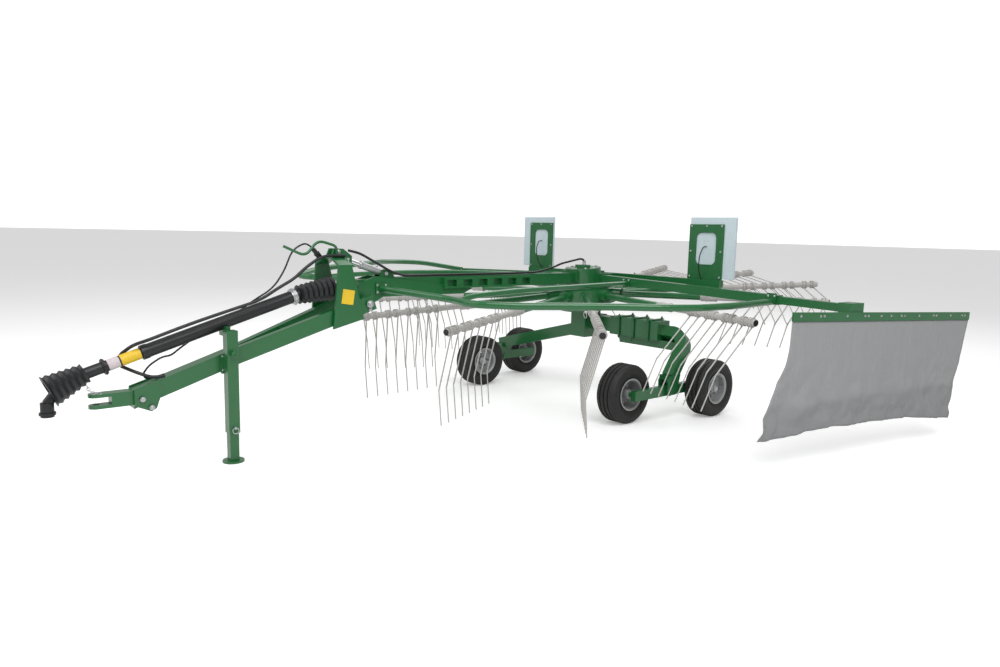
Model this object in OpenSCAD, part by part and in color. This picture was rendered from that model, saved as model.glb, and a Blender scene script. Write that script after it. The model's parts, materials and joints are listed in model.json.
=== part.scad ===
// Single rotor trailed hay rake, parked on its wheels and jack.
// Millimetres, +X to the tractor, +Y to the machine's left, +Z up, ground at Z = 0.

/* [Rotor] */
// Rotor centre ahead of the wheel line
rotor_x = -60; // [-80:1:-40]
// Height of the arm plane at the rotor axis
rotor_z = 830; // [820:1:840]
// Forward tilt of the rotor axis, degrees
rotor_tilt = 4.7; // [4:0.1:5.2]
// Angle of the first arm from straight ahead, degrees
arm_phase = 16.7; // [10:0.1:20]
// Radius at the outer end of a tine arm
arm_reach = 1809; // [1800:1:1820]
// Arm shaft diameter
shaft_d = 48; // [44:1:50]
// Tine carrier tube diameter
carrier_d = 42; // [38:1:44]
// Clamp sleeve diameter at the carrier's inner end
sleeve_d = 60; // [58:1:66]
// Radius where the sleeve starts
sleeve_r = 950; // [930:1:970]
// Sleeve length
sleeve_len = 112; // [100:1:130]
// Tine wire diameter
wire_d = 9; // [8:0.5:10]
// Distance from an arm's outer end in to its innermost tine leg
tine_in = 559; // [550:1:563]
// Spacing of the tine legs
tine_pitch = 76; // [72:1:76]
// Upright reach of a tine's upper part
tine_upper = 375; // [360:1:380]
// Upright reach of a tine's lower part
tine_lower = 225; // [210:1:230]
// How far the tine trails at its kink
tine_trail = 100; // [85:1:110]
// Diameter of the tine coils
coil_d = 60; // [56:1:64]
// Roll of a raised arm, degrees
roll_max = 62; // [58:1:66]
// Drum diameter
drum_d = 520; // [500:5:530]
// Column diameter inside the drum
column_d = 120; // [110:1:130]

/* [Wheels] */
// Tyre diameter
tyre_d = 410; // [400:1:415]
// Tyre width
tyre_w = 165; // [155:1:168]
// Rim flange diameter
rim_d = 226; // [216:1:232]
// Wheelbase of a bogie
wheelbase = 683; // [660:1:700]
// Sideways offset between the front and rear wheel of a bogie
stagger = 224; // [222:1:230]
// Distance between the two bogie beams
track = 1800; // [1780:1:1820]
// Bogie pin diameter
bogie_pin_d = 40; // [36:1:44]
// Stub axle diameter
axle_d = 35; // [32:1:38]

/* [Frame] */
// Main beam height
beam_h = 82; // [76:1:90]
// Main beam width
beam_w = 100; // [90:1:110]
// Height of the main beam's middle
beam_z = 945; // [940:1:950]
// Front end of the main beam
beam_front = 1840; // [1820:1:1850]
// Cross arm tube size
cross_arm = 60; // [56:1:64]
// Guard tube diameter
guard_d = 42; // [36:1:44]
// Spacing of the storage rack's windows
rack_pitch = 133; // [125:1:135]
// Warning board width
board_w = 380; // [360:1:400]
// Warning board height
board_h = 440; // [420:1:460]
// Warning board distance from the middle
board_y = 914; // [900:1:930]

/* [Drawbar] */
// Pivot of the drawbar, ahead of the wheel line
pivot_x = 1970; // [1966:1:1974]
// Pivot height
pivot_z = 840; // [836:1:844]
// Pivot pin diameter
pivot_d = 40; // [36:1:44]
// Drawbar box height
draw_h = 90; // [86:1:94]
// Drawbar box width
draw_w = 90; // [84:1:96]
// Hitch pin hole diameter
hitch_d = 33; // [30:0.5:34]
// Gap between the hitch plates
hitch_gap = 40; // [36:1:42]
// Hitch hole ahead of the wheel line
hitch_x = 3440; // [3430:1:3442]
// Jack tube size
jack_w = 60; // [56:1:66]
// Jack place along the drawbar
jack_x = 2795; // [2785:1:2810]
// Guard tube diameter of the driveline
pto_d = 72; // [66:1:78]
// Splined bore of the driveline yoke
yoke_bore = 35; // [34:0.1:36]

/* [Curtain] */
// Length of the curtain rail
rail_len = 1793; // [1700:1:1800]
// Height of the rail
rail_h = 50; // [46:1:56]
// Toe-out of the curtain, degrees
rail_toe = 9.3; // [8:0.1:10]
// Drop of the rail towards the rear, degrees
rail_drop = 2; // [1:0.1:3]
// Cloth height at the front end
cloth_front = 590; // [560:1:610]
// Cloth height at the rear end
cloth_rear = 690; // [660:1:700]

/* [Hidden] */
$fn = 48;

// Radial running clearance of pins and shafts
run = 0.05;
// Gap between seated curved faces
seat = 0.3;
green = [0.05, 0.36, 0.16];
pale = [0.80, 0.79, 0.75];
steel = [0.55, 0.56, 0.57];
black = [0.04, 0.04, 0.045];
// Cam law: tines hang in front, rise on the left and drop again behind
raise_from = 48;
raise_to = 107.5;
drop_from = 205;
drop_to = 250;
function ramp(a, lo, hi) = min(1, max(0, (a - lo) / (hi - lo)));
function roll(a) = roll_max * (ramp(a, raise_from, raise_to) - ramp(a, drop_from, drop_to));
function arm_angle(k) = arm_phase + 30 * k;
// Place of a point of arm k in the machine, v in the arm's own frame before it rolls
function rolled(v, r) = [v[0], v[1] * cos(r) + v[2] * sin(r), v[2] * cos(r) - v[1] * sin(r)];
function turned(v, a) = [v[0] * cos(a) - v[1] * sin(a), v[0] * sin(a) + v[1] * cos(a), v[2]];
function tilted(v, t) = [v[0] * cos(t) + v[2] * sin(t), v[1], v[2] * cos(t) - v[0] * sin(t)];
function arm_point(k, v) =
    [rotor_x, 0, rotor_z] + tilted(turned(rolled(v, roll(arm_angle(k))), arm_angle(k)), rotor_tilt);

// A tine's lower part is a little thinner, and leaves through the upper part's end
tip_r = wire_d / 2 - 0.8;

// Middle of the whole machine on the ground, from its four outermost points
yoke_x = 3652;
yoke_collar = 37;
tube_out = 2040;
rail_front = [470, tube_out + 5, 868];
tine_r = arm_reach - tine_in;
far_front = yoke_x + yoke_collar;
far_rear = arm_point(6, [tine_r + 7 * tine_pitch, 3 - tine_trail, -tine_upper - tine_lower])[0] - tip_r;
far_left = rail_front[1] + rail_len * cos(rail_drop) * sin(rail_toe) + 6 * cos(rail_toe);
far_right = arm_point(8, [arm_reach, carrier_d / 2, 0])[1];
centre = [(far_front + far_rear) / 2, (far_left + far_right) / 2];
base = [-centre[0], -centre[1], 0];

wheel_r = tyre_d / 2;
bogie_y = track / 2;
bogie_w = 40;
bogie_h = 70;
arm_slope = 1.6;
arm_x = -100;
arm_root = 160;
arm_z = 944;

// Straight round bar from p to q
module rod(p, q, r) {
    d = q - p;
    translate(p)
        rotate([0, acos(d[2] / norm(d)), atan2(d[1], d[0])])
            cylinder(h = norm(d), r = r);
}

// Straight flat-sided bar from p to q, w sideways and h upright
module bar(p, q, w, h) {
    d = q - p;
    translate(p)
        rotate([0, -asin(d[2] / norm(d)), atan2(d[1], d[0])])
            translate([0, -w / 2, -h / 2])
                cube([norm(d), w, h]);
}

function unit(v) = v / norm(v);

// Reach of the bend at corner i, no more than c or a part of its two legs
function bend(p, i, c) = min(c, 0.45 * norm(p[i] - p[i - 1]), 0.45 * norm(p[i + 1] - p[i]));

// Line through the points with each corner rounded in n steps
function rounded(p, c, n) = concat(
    [p[0]],
    [for (i = [1 : len(p) - 2], t = [0 : n])
        let (
            b = bend(p, i, c),
            u = t / n,
            from = p[i] + b * unit(p[i - 1] - p[i]),
            to = p[i] + b * unit(p[i + 1] - p[i])
        ) (1 - u) * (1 - u) * from + 2 * u * (1 - u) * p[i] + u * u * to],
    [p[len(p) - 1]]
);

// Way of the line at point i
function way(p, i) =
    i == 0 ? unit(p[1] - p[0]) :
    i == len(p) - 1 ? unit(p[i] - p[i - 1]) :
    unit(unit(p[i] - p[i - 1]) + unit(p[i + 1] - p[i]));

// Round tube swept along the line, up is any direction the line never takes
module swept(line, r, sides, up) {
    last = len(line) - 1;
    rings = [for (i = [0 : last], j = [0 : sides - 1])
        let (
            t = way(line, i),
            s = unit(cross(t, up)),
            n = cross(s, t),
            a = 360 * j / sides
        ) line[i] + r * (cos(a) * n + sin(a) * s)];
    walls = [for (i = [0 : last - 1], j = [0 : sides - 1], h = [0, 1])
        let (
            k = (j + 1) % sides,
            a = i * sides,
            b = a + sides
        ) h == 0 ? [a + j, b + j, b + k] : [a + j, b + k, a + k]];
    near_end = [for (j = [0 : sides - 1]) j];
    far_end = [for (j = [0 : sides - 1]) last * sides + sides - 1 - j];
    polyhedron(points = rings, faces = concat(walls, [near_end], [far_end]));
}

// Box by its low and high corners
module block(lo, hi) {
    translate(lo) cube(hi - lo);
}

// Upright plate in the X-Z plane from y0 to y1
module side_plate(pts, y0, y1) {
    translate([0, y1, 0])
        rotate([90, 0, 0])
            linear_extrude(height = y1 - y0)
                polygon(pts);
}

module on_rotor() {
    translate([rotor_x, 0, rotor_z])
        rotate([0, rotor_tilt, 0])
            children();
}

// Drum faces in the rotor's own frame
drum_top = 58;
drum_low = -130;
head_low = drum_top + 6;
drum_r = drum_d / 2;
socket_r = 330;

module rotor_drum() {
    color(green) translate(base) on_rotor() {
        difference() {
            union() {
                translate([0, 0, drum_low]) cylinder(h = drum_top - drum_low, r = drum_r - 60);
                translate([0, 0, -70]) cylinder(h = 110, r = drum_r);
                for (k = [0 : 11]) {
                    rotate([0, 90, arm_angle(k)])
                        translate([0, 0, drum_r - 30])
                            cylinder(h = socket_r - drum_r + 30, r = 42);
                }
            }
            translate([0, 0, drum_low - 1]) cylinder(h = drum_top - drum_low + 2, r = column_d / 2 + run);
        }
    }
}

module arm_shafts() {
    color(green) translate(base) on_rotor() {
        for (k = [0 : 11]) {
            rotate([0, 90, arm_angle(k)])
                translate([0, 0, socket_r])
                    cylinder(h = sleeve_r + 90 - socket_r, r = shaft_d / 2);
        }
    }
}

coil_r = coil_d / 2;
coil_len = 29;

// Three turns of spring wire round the carrier
module coil() {
    rotate([0, 90, 0])
        rotate_extrude()
            polygon([
                [10, 0], [coil_r - 1, 0], [coil_r, 1], [coil_r, 13], [coil_r - 4, 15], [coil_r, 17],
                [coil_r, 20], [coil_r - 4, 22], [coil_r, 24], [coil_r, coil_len - 1],
                [coil_r - 1, coil_len], [10, coil_len]
            ]);
}

module tine_leg() {
    top = [0, coil_r - wire_d, 0];
    kink = [0, -tine_trail, -tine_upper];
    tip = [0, -tine_trail + 3, -tine_upper - tine_lower];
    rod(top, kink + 1.3 * unit(kink - top), wire_d / 2);
    rod(kink, tip, tip_r);
}

module tine_arm(k) {
    on_rotor() rotate([0, 0, arm_angle(k)]) rotate([-roll(arm_angle(k)), 0, 0]) {
        difference() {
            union() {
                translate([sleeve_r, 0, 0]) rotate([0, 90, 0]) cylinder(h = sleeve_len, r = sleeve_d / 2);
                translate([sleeve_r, 0, 0]) rotate([0, 90, 0])
                    cylinder(h = arm_reach - sleeve_r, r = carrier_d / 2);
                for (j = [0 : 3]) {
                    a = tine_r + 2 * j * tine_pitch;
                    translate([a, 0, 0]) tine_leg();
                    translate([a + tine_pitch, 0, 0]) tine_leg();
                    translate([a - wire_d / 2 - 2, 0, 0]) coil();
                    translate([a + tine_pitch + wire_d / 2 + 2, 0, 0]) mirror([1, 0, 0]) coil();
                }
            }
            translate([sleeve_r - 1, 0, 0]) rotate([0, 90, 0]) cylinder(h = 96, r = shaft_d / 2 + seat);
        }
    }
}

module tines_lowered() {
    color(pale) translate(base) for (k = [0, 1, 8, 9, 10, 11]) tine_arm(k);
}

module tines_turning() {
    color(pale) translate(base) for (k = [2, 7]) tine_arm(k);
}

module tines_raised() {
    color(pale) translate(base) for (k = [3, 4, 5, 6]) tine_arm(k);
}

beam_back = 112;
rack_x = 634;
beam_lo = beam_z - beam_h / 2;
beam_hi = beam_z + beam_h / 2;
ear_in = beam_w / 2;
ear_out = ear_in + 14;

// Tapered gusset on one side of the beam, with the ear of the drawbar's pivot
module gusset(s) {
    side_plate([
        [beam_front + 150, beam_hi - 26], [beam_front + 32, beam_hi + 12], [1110, beam_lo - 2],
            [1190, beam_lo - 36],
        [beam_front - 20, beam_lo - 34], [pivot_x - 30, pivot_z - 34], [pivot_x + 16, pivot_z - 34],
        [pivot_x + 34, pivot_z - 14], [pivot_x + 34, pivot_z + 30]
    ], s > 0 ? ear_in - 2 : -ear_out, s > 0 ? ear_out : -ear_in + 2);
}

module main_beam() {
    color(green) translate(base) difference() {
        union() {
            block([beam_back, -beam_w / 2, beam_lo], [beam_front + 150, beam_w / 2, beam_hi - 8]);
            block([beam_back, -beam_w / 2 + 4, beam_lo + 4], [beam_front - 80, beam_w / 2 - 4, beam_hi]);
            for (s = [-1, 1]) {
                gusset(s);
                side_plate([
                    [1712, beam_hi - 6], [lift_a[0] + 55, beam_hi - 6],
                        [lift_a[0] + 28, lift_a[2] + 24], [lift_a[0] - 24, lift_a[2] + 24]
                ], s > 0 ? lug_in : -lug_in - 12, s > 0 ? lug_in + 12 : -lug_in);
            }
            rod([pivot_x, -draw_half - 12, pivot_z], [pivot_x, draw_half + 12, pivot_z], pivot_d / 2);
        }
        rod([lift_a[0], -60, lift_a[2]], [lift_a[0], 60, lift_a[2]], lift_pin / 2 + run);
        block([1500, -lug_in, beam_hi - 7], [1900, lug_in, 1200]);
    }
}

// Lift cylinder pins: on the beam, and on the arch
lift_a = [1780, 0, 1012];
lift_b = [2050, 0, 1102];
lug_in = 24;
lift_pin = 24;
lift_len = norm(lift_b - lift_a);
lift_dir = atan2(lift_b[2] - lift_a[2], lift_b[0] - lift_a[0]);

module on_lift() {
    translate(lift_a) rotate([0, -lift_dir, 0]) children();
}

module lift_barrel() {
    color(steel) translate(base) on_lift() {
        difference() {
            union() {
                rotate([90, 0, 0]) translate([0, 0, -18]) cylinder(h = 36, r = 22);
                translate([15, 0, 0]) rotate([0, 90, 0]) cylinder(h = 165, r = 22);
                rotate([90, 0, 0]) translate([0, 0, -lug_in - 16])
                    cylinder(h = 2 * lug_in + 32, r = lift_pin / 2);
            }
            translate([36, 0, 0]) rotate([0, 90, 0]) cylinder(h = 150, r = 15 + run);
        }
    }
}

module lift_rod() {
    color(steel) translate(base) on_lift() {
        difference() {
            union() {
                translate([66, 0, 0]) rotate([0, 90, 0]) cylinder(h = lift_len - 76, r = 15);
                translate([lift_len, 0, 0]) rotate([90, 0, 0]) translate([0, 0, -16])
                    cylinder(h = 32, r = 22);
            }
            translate([lift_len, 0, 0]) rotate([90, 0, 0]) translate([0, 0, -20])
                cylinder(h = 40, r = lift_pin / 2 + 2);
        }
    }
}

module storage_rack() {
    color(green) translate(base) difference() {
        block([rack_x - 62, ear_in, beam_lo + 4], [rack_x + 5 * rack_pitch + 62, ear_in + 34, beam_hi - 8]);
        for (i = [0 : 5]) {
            block([rack_x + rack_pitch * i - 38, ear_in + 6, beam_lo + 16],
                [rack_x + rack_pitch * i + 38, ear_in + 40, beam_hi - 22]);
        }
        gusset(1);
    }
}

module gear_head() {
    color(green) translate(base) union() {
        on_rotor() translate([0, 0, head_low]) cylinder(h = 130, r = 140);
        block([-215, -75, 914], [beam_back, 75, 1000]);
        block([arm_x - 60, -arm_root, 914], [arm_x + 60, arm_root, 985]);
        translate([-43, 0, 990]) cylinder(h = 55, r = 60);
    }
}

module input_shaft() {
    color(steel) translate(base) union() {
        rod([beam_front + 150, 0, beam_z], [2130, 0, beam_z], 17.4);
        rod([beam_front + 150, 0, beam_z], [2020, 0, beam_z], 32);
    }
}

post_lo = 480;
post_hi = 690;

module column() {
    color(green) translate(base) union() {
        on_rotor() translate([0, 0, -200]) cylinder(h = 200 + head_low, r = column_d / 2);
        block([-190, -75, post_lo], [-10, 75, post_hi]);
        block([-270, -75, post_lo + 20], [-10, 75, 650]);
    }
}

cheek_gap = 31;
cheek_t = 12;

// Fork that carries a bogie on its pin, s is the side
module bogie_fork(s) {
    y = s * bogie_y;
    for (t = [-1, 1]) {
        side_plate([
            [-45, wheel_r - 30], [45, wheel_r - 30], [52, wheel_r + 75], [20, wheel_r + 110],
                [-90, wheel_r + 110]
        ], t > 0 ? y + cheek_gap : y - cheek_gap - cheek_t,
            t > 0 ? y + cheek_gap + cheek_t : y - cheek_gap);
    }
    block([-70, y - cheek_gap - cheek_t, wheel_r + 75], [40, y + cheek_gap + cheek_t, wheel_r + 110]);
    rod([0, y - 50, wheel_r], [0, y + 50, wheel_r], bogie_pin_d / 2);
}

module axle_left() {
    color(green) translate(base) union() {
        block([-260, 75, 535], [-140, 240, 645]);
        block([-270, 230, 520], [-130, 690, 660]);
        bent_arm();
        bogie_fork(1);
        bar([-200, 300, 490], [-200, bogie_y - 34, 490], 60, 60);
        block([-235, 300, 480], [-165, 420, 530]);
    }
}

// Box-section arm that runs out of the axle box, bends round and drops to the bogie's fork
arm_bend = 130;
arm_drop = 54.7;
arm_foot = [-20, bogie_y, wheel_r + 92];
arm_down = 340;
bend_at = [arm_foot[0] - arm_down * cos(arm_drop), bogie_y - arm_bend,
    arm_foot[2] + arm_down * sin(arm_drop)];

module bent_arm() {
    translate(bend_at) rotate([0, 180 + arm_drop, 0]) rotate([0, 0, 90]) {
        block([-130, -41, -42], [6, 41, 42]);
        translate([0, arm_bend, 0])
            rotate([0, 0, -90])
                rotate_extrude(angle = 90)
                    translate([arm_bend, 0])
                        square([84, 86], center = true);
        block([arm_bend - 41, arm_bend - 6, -42], [arm_bend + 41, arm_down, 42]);
    }
}

module axle_right() {
    color(green) translate(base) difference() {
        union() {
            bar([-70, -40, 540], [-20, -bogie_y - 20, wheel_r + 106], 80, 90);
            bogie_fork(-1);
        }
        block([-400, -75, 300], [200, 100, 800]);
    }
}

module bogie(s) {
    y = s * bogie_y;
    inner = s * (bogie_y - bogie_w / 2);
    outer = s * (bogie_y + bogie_w / 2);
    difference() {
        union() {
            block([-wheelbase / 2 - 30, y - bogie_w / 2, wheel_r - bogie_h / 2],
                [wheelbase / 2 + 30, y + bogie_w / 2, wheel_r + bogie_h / 2]);
            rod([0, y - 25, wheel_r], [0, y + 25, wheel_r], 40);
            rod([wheelbase / 2, y, wheel_r], [wheelbase / 2, y - s * (stagger / 2 + 41), wheel_r],
                axle_d / 2);
            rod([-wheelbase / 2, y, wheel_r], [-wheelbase / 2, y + s * (stagger / 2 + 41), wheel_r],
                axle_d / 2);
        }
        rod([0, y - 30, wheel_r], [0, y + 30, wheel_r], bogie_pin_d / 2 + run);
    }
}

module bogie_left() {
    color(green) translate(base) bogie(1);
}

module bogie_right() {
    color(green) translate(base) bogie(-1);
}

bead_r = rim_d / 2 - 11;
half_w = tyre_w / 2;

// Ribbed tyre about +Y
module tyre() {
    rotate([-90, 0, 0])
        rotate_extrude($fn = 64)
            polygon([
                [bead_r, -60], [bead_r + 14, -64], [bead_r + 40, -half_w + 4], [wheel_r - 45, -half_w],
                [wheel_r - 18, -half_w + 6], [wheel_r - 4, -half_w + 20], [wheel_r, -half_w + 30],
                [wheel_r, -38], [wheel_r - 8, -36], [wheel_r - 8, -30], [wheel_r, -28],
                [wheel_r, -7], [wheel_r - 8, -5], [wheel_r - 8, 5], [wheel_r, 7],
                [wheel_r, 28], [wheel_r - 8, 30], [wheel_r - 8, 36], [wheel_r, 38],
                [wheel_r, half_w - 30], [wheel_r - 4, half_w - 20], [wheel_r - 18, half_w - 6],
                [wheel_r - 45, half_w], [bead_r + 40, half_w - 4], [bead_r + 14, 64], [bead_r, 60]
            ]);
}

// Dished rim about +Y, open side of the hub towards -Y
module rim() {
    b = bead_r - seat;
    rotate([-90, 0, 0]) difference() {
        rotate_extrude($fn = 64)
            polygon([
                [0, 52], [22, 52], [34, 44], [34, 12], [b - 6, 24], [b - 6, 66], [b + 2, 73],
                    [b + 10, 73], [b + 10, 68],
                [b + 4, 66], [b, 62], [b, -62], [b + 4, -66], [b + 10, -68], [b + 10, -73],
                    [b + 2, -73], [b - 6, -66],
                [b - 6, 12], [34, 0], [34, -58], [0, -58]
            ]);
        translate([0, 0, -70]) cylinder(h = 112, r = axle_d / 2 + run);
        for (i = [0 : 7]) {
            rotate([0, 0, 45 * i]) translate([63, 0, -20]) cylinder(h = 60, r = 11);
        }
    }
}

module wheel_at(front, s) {
    y = s * (bogie_y + (front ? -1 : 1) * stagger / 2);
    out = front ? -s : s;
    translate([(front ? 1 : -1) * wheelbase / 2, y, wheel_r])
        rotate([0, 0, out > 0 ? 0 : 180])
            children();
}

module tyre_fl() {
    color(black) translate(base) wheel_at(true, 1) tyre();
}

module tyre_fr() {
    color(black) translate(base) wheel_at(true, -1) tyre();
}

module tyre_rl() {
    color(black) translate(base) wheel_at(false, 1) tyre();
}

module tyre_rr() {
    color(black) translate(base) wheel_at(false, -1) tyre();
}

module rim_fl() {
    color(steel) translate(base) wheel_at(true, 1) rim();
}

module rim_fr() {
    color(steel) translate(base) wheel_at(true, -1) rim();
}

module rim_rl() {
    color(steel) translate(base) wheel_at(false, 1) rim();
}

module rim_rr() {
    color(steel) translate(base) wheel_at(false, -1) rim();
}

// Sloping line of the left and right cross arms
module on_arm_line() {
    translate([arm_x, arm_root, arm_z]) rotate([-arm_slope, 0, 0]) children();
}

arm_len = 1490;
slide_w = cross_arm - 12;

module cross_arms() {
    color(green) translate(base) {
        difference() {
            on_arm_line() translate([-cross_arm / 2, -4, -cross_arm / 2])
                cube([cross_arm, arm_len + 4, cross_arm]);
            on_arm_line() translate([-slide_w / 2 - 0.5, arm_len - 460, -slide_w / 2 - 0.5])
                cube([slide_w + 1, 500, slide_w + 1]);
            block([arm_x - 70, 0, 800], [arm_x + 70, arm_root, 1100]);
        }
        difference() {
            mirror([0, 1, 0]) on_arm_line() translate([-cross_arm / 2, -4, -cross_arm / 2])
                cube([cross_arm, arm_len + 4, cross_arm]);
            block([arm_x - 70, -arm_root, 800], [arm_x + 70, 0, 1100]);
        }
    }
}

guard_r = guard_d / 2;
guard_end = arm_x + cross_arm / 2;
// Left bow from the beam's front, round the side, back to the cross arm, and its inner strut
bow_left = [
    [1838, ear_out + 9, 921], [1690, 600, 892], [1735, 825, 886], [1550, 1040, 885], [1350, 1150, 885],
    [1055, 1330, 885], [890, 1480, 885], [665, 1595, 885], [365, 1625, 886], [guard_end + 4, 1612, 890]
];
strut_left = [
    [1708, 690, 889], [1600, 678, 915], [1185, 632, 930], [795, 588, 930], [325, 497, 928],
        [guard_end + 4, 430, 926]
];
// The right bow reaches further forward and stands higher, drawn here on the left
bow_right = [
    [1838, ear_out + 9, 925], [1780, 600, 942], [1990, 820, 950], [1700, 1030, 984], [1350, 1150, 1004],
    [1055, 1330, 1008], [890, 1480, 1008], [665, 1595, 1004], [365, 1625, 990], [guard_end + 4, 1612, 926]
];
strut_right = [
    [1862, 690, 946], [1600, 678, 962], [1185, 632, 972], [795, 588, 970], [325, 497, 956],
        [guard_end + 4, 430, 930]
];

module guard(bow, strut) {
    swept(rounded(bow, 110, 4), guard_r, 16, [0, 0, 1]);
    swept(rounded(strut, 90, 3), guard_r - 4, 16, [0, 0, 1]);
    block([1800, ear_out, 890], [1876, ear_out + 10, 956]);
    block([guard_end, 1580, 880], [guard_end + 10, 1640, 945]);
    block([guard_end, 400, 900], [guard_end + 10, 460, 960]);
}

module guard_left() {
    color(green) translate(base) guard(bow_left, strut_left);
}

module guard_right() {
    color(green) translate(base) mirror([0, 1, 0]) guard(bow_right, strut_right);
}

board_x = -420;
tube_z = 950;

module rear_cross_tube() {
    color(green) translate(base) union() {
        block([board_x - 25, -1010, tube_z - 25], [board_x + 25, 1010, tube_z + 25]);
        block([board_x, -40, tube_z - 24], [-215, 40, tube_z + 24]);
    }
}

module board_frame() {
    in_y = board_y - board_w / 2;
    difference() {
        block([board_x + 2, in_y, tube_z + 25], [board_x + 12, in_y + 290, tube_z + board_h - 15]);
        translate([board_x, in_y + 145, tube_z + 250])
            rotate([90, 0, 90])
                linear_extrude(height = 20)
                    rounded_slot(170, 230, 40);
    }
}

// Flat shape w wide and h high with corners of radius r
module rounded_slot(w, h, r) {
    square([w - 2 * r, h], center = true);
    square([w, h - 2 * r], center = true);
    for (a = [-1, 1], b = [-1, 1]) {
        translate([a * (w / 2 - r), b * (h / 2 - r)]) circle(r = r);
    }
}

module board_frames() {
    color(green) translate(base) {
        board_frame();
        mirror([0, 1, 0]) board_frame();
    }
}

module board_panels() {
    color([0.85, 0.86, 0.86]) translate(base) for (s = [-1, 1]) {
        block([board_x - 18, s * board_y - board_w / 2, tube_z + 35],
            [board_x + 2, s * board_y + board_w / 2, tube_z + 35 + board_h]);
    }
}

// Curtain: an inner tube in the left cross arm, a rail and the cloth under it

module curtain_arm() {
    color(green) translate(base) difference() {
        union() {
            on_arm_line() translate([-slide_w / 2, arm_len - 400, -slide_w / 2])
                cube([slide_w, tube_out - arm_root - arm_len + 430, slide_w]);
            block([arm_x - 60, tube_out + 6, 815], [arm_x + 60, tube_out + 150, 925]);
        }
        on_rail() translate([-100, -594, -500]) cube([rail_len + 200, 600, 1000]);
    }
}

module on_rail() {
    translate(rail_front) rotate([0, rail_drop, 180 - rail_toe]) children();
}

module curtain_rail() {
    color(green) translate(base) on_rail() translate([0, -6, -rail_h / 2]) cube([rail_len, 12, rail_h]);
}

module curtain_cloth() {
    color([0.5, 0.51, 0.52]) translate(base) on_rail() {
        translate([0, 3, 0])
            rotate([90, 0, 0])
                linear_extrude(height = 6)
                    polygon([[0, -rail_h / 2], [rail_len, -rail_h / 2],
                        [rail_len - 40, -rail_h / 2 - cloth_rear], [30, -rail_h / 2 - cloth_front]]);
    }
}

// Drawbar, from the arch feet to the hitch
arch_half = 150;
arch_knee = 1075;
arch_top = 1122;
rail_w = 45;
draw_half = 152;
draw_slope = 0.3314;
rail_end = [1930, draw_half - rail_w / 2, pivot_z + 10];
draw_join = [2770, 0, 566];
draw_tip = [3290, 0, 566 - 520 * draw_slope];
hitch_lo = 370;
hitch_hi = 444;
hitch_t = (hitch_hi - hitch_lo - hitch_gap) / 2;

module portal_arch() {
    color(green) translate(base) difference() {
        union() {
            intersection() {
                translate([1900, 0, 0]) rotate([90, 0, 90]) linear_extrude(height = 400)
                    polygon([
                        [-arch_half, 700], [-arch_half, arch_knee], [-52, arch_top], [52, arch_top],
                            [arch_half, arch_knee],
                        [arch_half, 700], [arch_half - 14, 700], [arch_half - 14, arch_knee - 8],
                            [46, arch_top - 14],
                        [-46, arch_top - 14], [-arch_half + 14, arch_knee - 8], [-arch_half + 14, 700]
                    ]);
                side_plate([[2206, 700], [2172, arch_knee], [2166, 1200], [2072, 1200],
                    [2086, arch_knee], [2004, 750]], -400, 400);
            }
            for (s = [-1, 1]) {
                side_plate([
                    [lift_b[0] - 28, lift_b[2] - 24], [lift_b[0] - 28, lift_b[2] + 20],
                        [2080, arch_top + 44], [2140, arch_top + 44],
                    [2160, arch_top - 4], [2080, arch_top - 10]
                ], s > 0 ? lug_in : -lug_in - 12, s > 0 ? lug_in + 12 : -lug_in);
            }
            rod([lift_b[0], -lug_in - 16, lift_b[2]], [lift_b[0], lug_in + 16, lift_b[2]], lift_pin / 2);
        }
        drawbar_volume();
    }
}

// Space taken by the two rails of the drawbar
module drawbar_volume() {
    for (s = [-1, 1]) {
        bar([rail_end[0], s * rail_end[1], rail_end[2]], [draw_join[0], s * draw_w / 4, draw_join[2]],
            rail_w, draw_h);
    }
}

module drawbar_rails() {
    color(green) translate(base) difference() {
        union() {
            drawbar_volume();
            bar(draw_join - [30, 0, -30 * draw_slope], draw_tip, draw_w, draw_h);
            for (s = [-1, 1]) {
                side_plate([
                    [3275, 455], [3160, 490], [3140, 430], [3170, 345], [3195, 330], [3222, 342],
                        [3275, 366]
                ], s > 0 ? draw_w / 2 - 1 : -draw_w / 2 - 11, s > 0 ? draw_w / 2 + 11 : -draw_w / 2 + 1);
                rod([3239, s * 40, 400], [3239, s * (draw_w / 2 + 22), 400], 15);
                rod([3196, s * 40, 352], [3196, s * (draw_w / 2 + 22), 352], 15);
            }
            bar([2440, -70, 688], [2440, 70, 688], 50, 40);
        }
        block([3276, -100, 200], [3500, 100, 600]);
        rod([pivot_x, -300, pivot_z], [pivot_x, 300, pivot_z], pivot_d / 2 + run);
    }
}

module hitch_clevis() {
    color(green) translate(base) difference() {
        union() {
            block([3276, -36, hitch_lo], [3376, 36, hitch_hi]);
            for (z = [hitch_lo, hitch_hi - hitch_t]) {
                block([3370, -36, z], [hitch_x, 36, z + hitch_t]);
                translate([hitch_x, 0, z]) cylinder(h = hitch_t, r = 36);
            }
        }
        translate([hitch_x, 0, hitch_lo - 50]) cylinder(h = 300, r = hitch_d / 2);
    }
}

jack_y = 96;

module jack_sleeve() {
    color(green) translate(base) difference() {
        union() {
            block([jack_x - jack_w / 2, jack_y - jack_w / 2, 165],
                [jack_x + jack_w / 2, jack_y + jack_w / 2, 728]);
            block([jack_x - 40, draw_w / 2, 490], [jack_x + 40, jack_y - jack_w / 2 + 1, 600]);
            block([jack_x - 12, -pto_d / 2, 690], [jack_x + 12, jack_y - jack_w / 2 + 1, 745]);
        }
        rod(pto_r, pto_f, pto_d / 2 + seat);
        drawbar_volume();
        block([jack_x - jack_w / 2 + 5, jack_y - jack_w / 2 + 5, 100],
            [jack_x + jack_w / 2 - 5, jack_y + jack_w / 2 - 5, 722]);
    }
}

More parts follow.
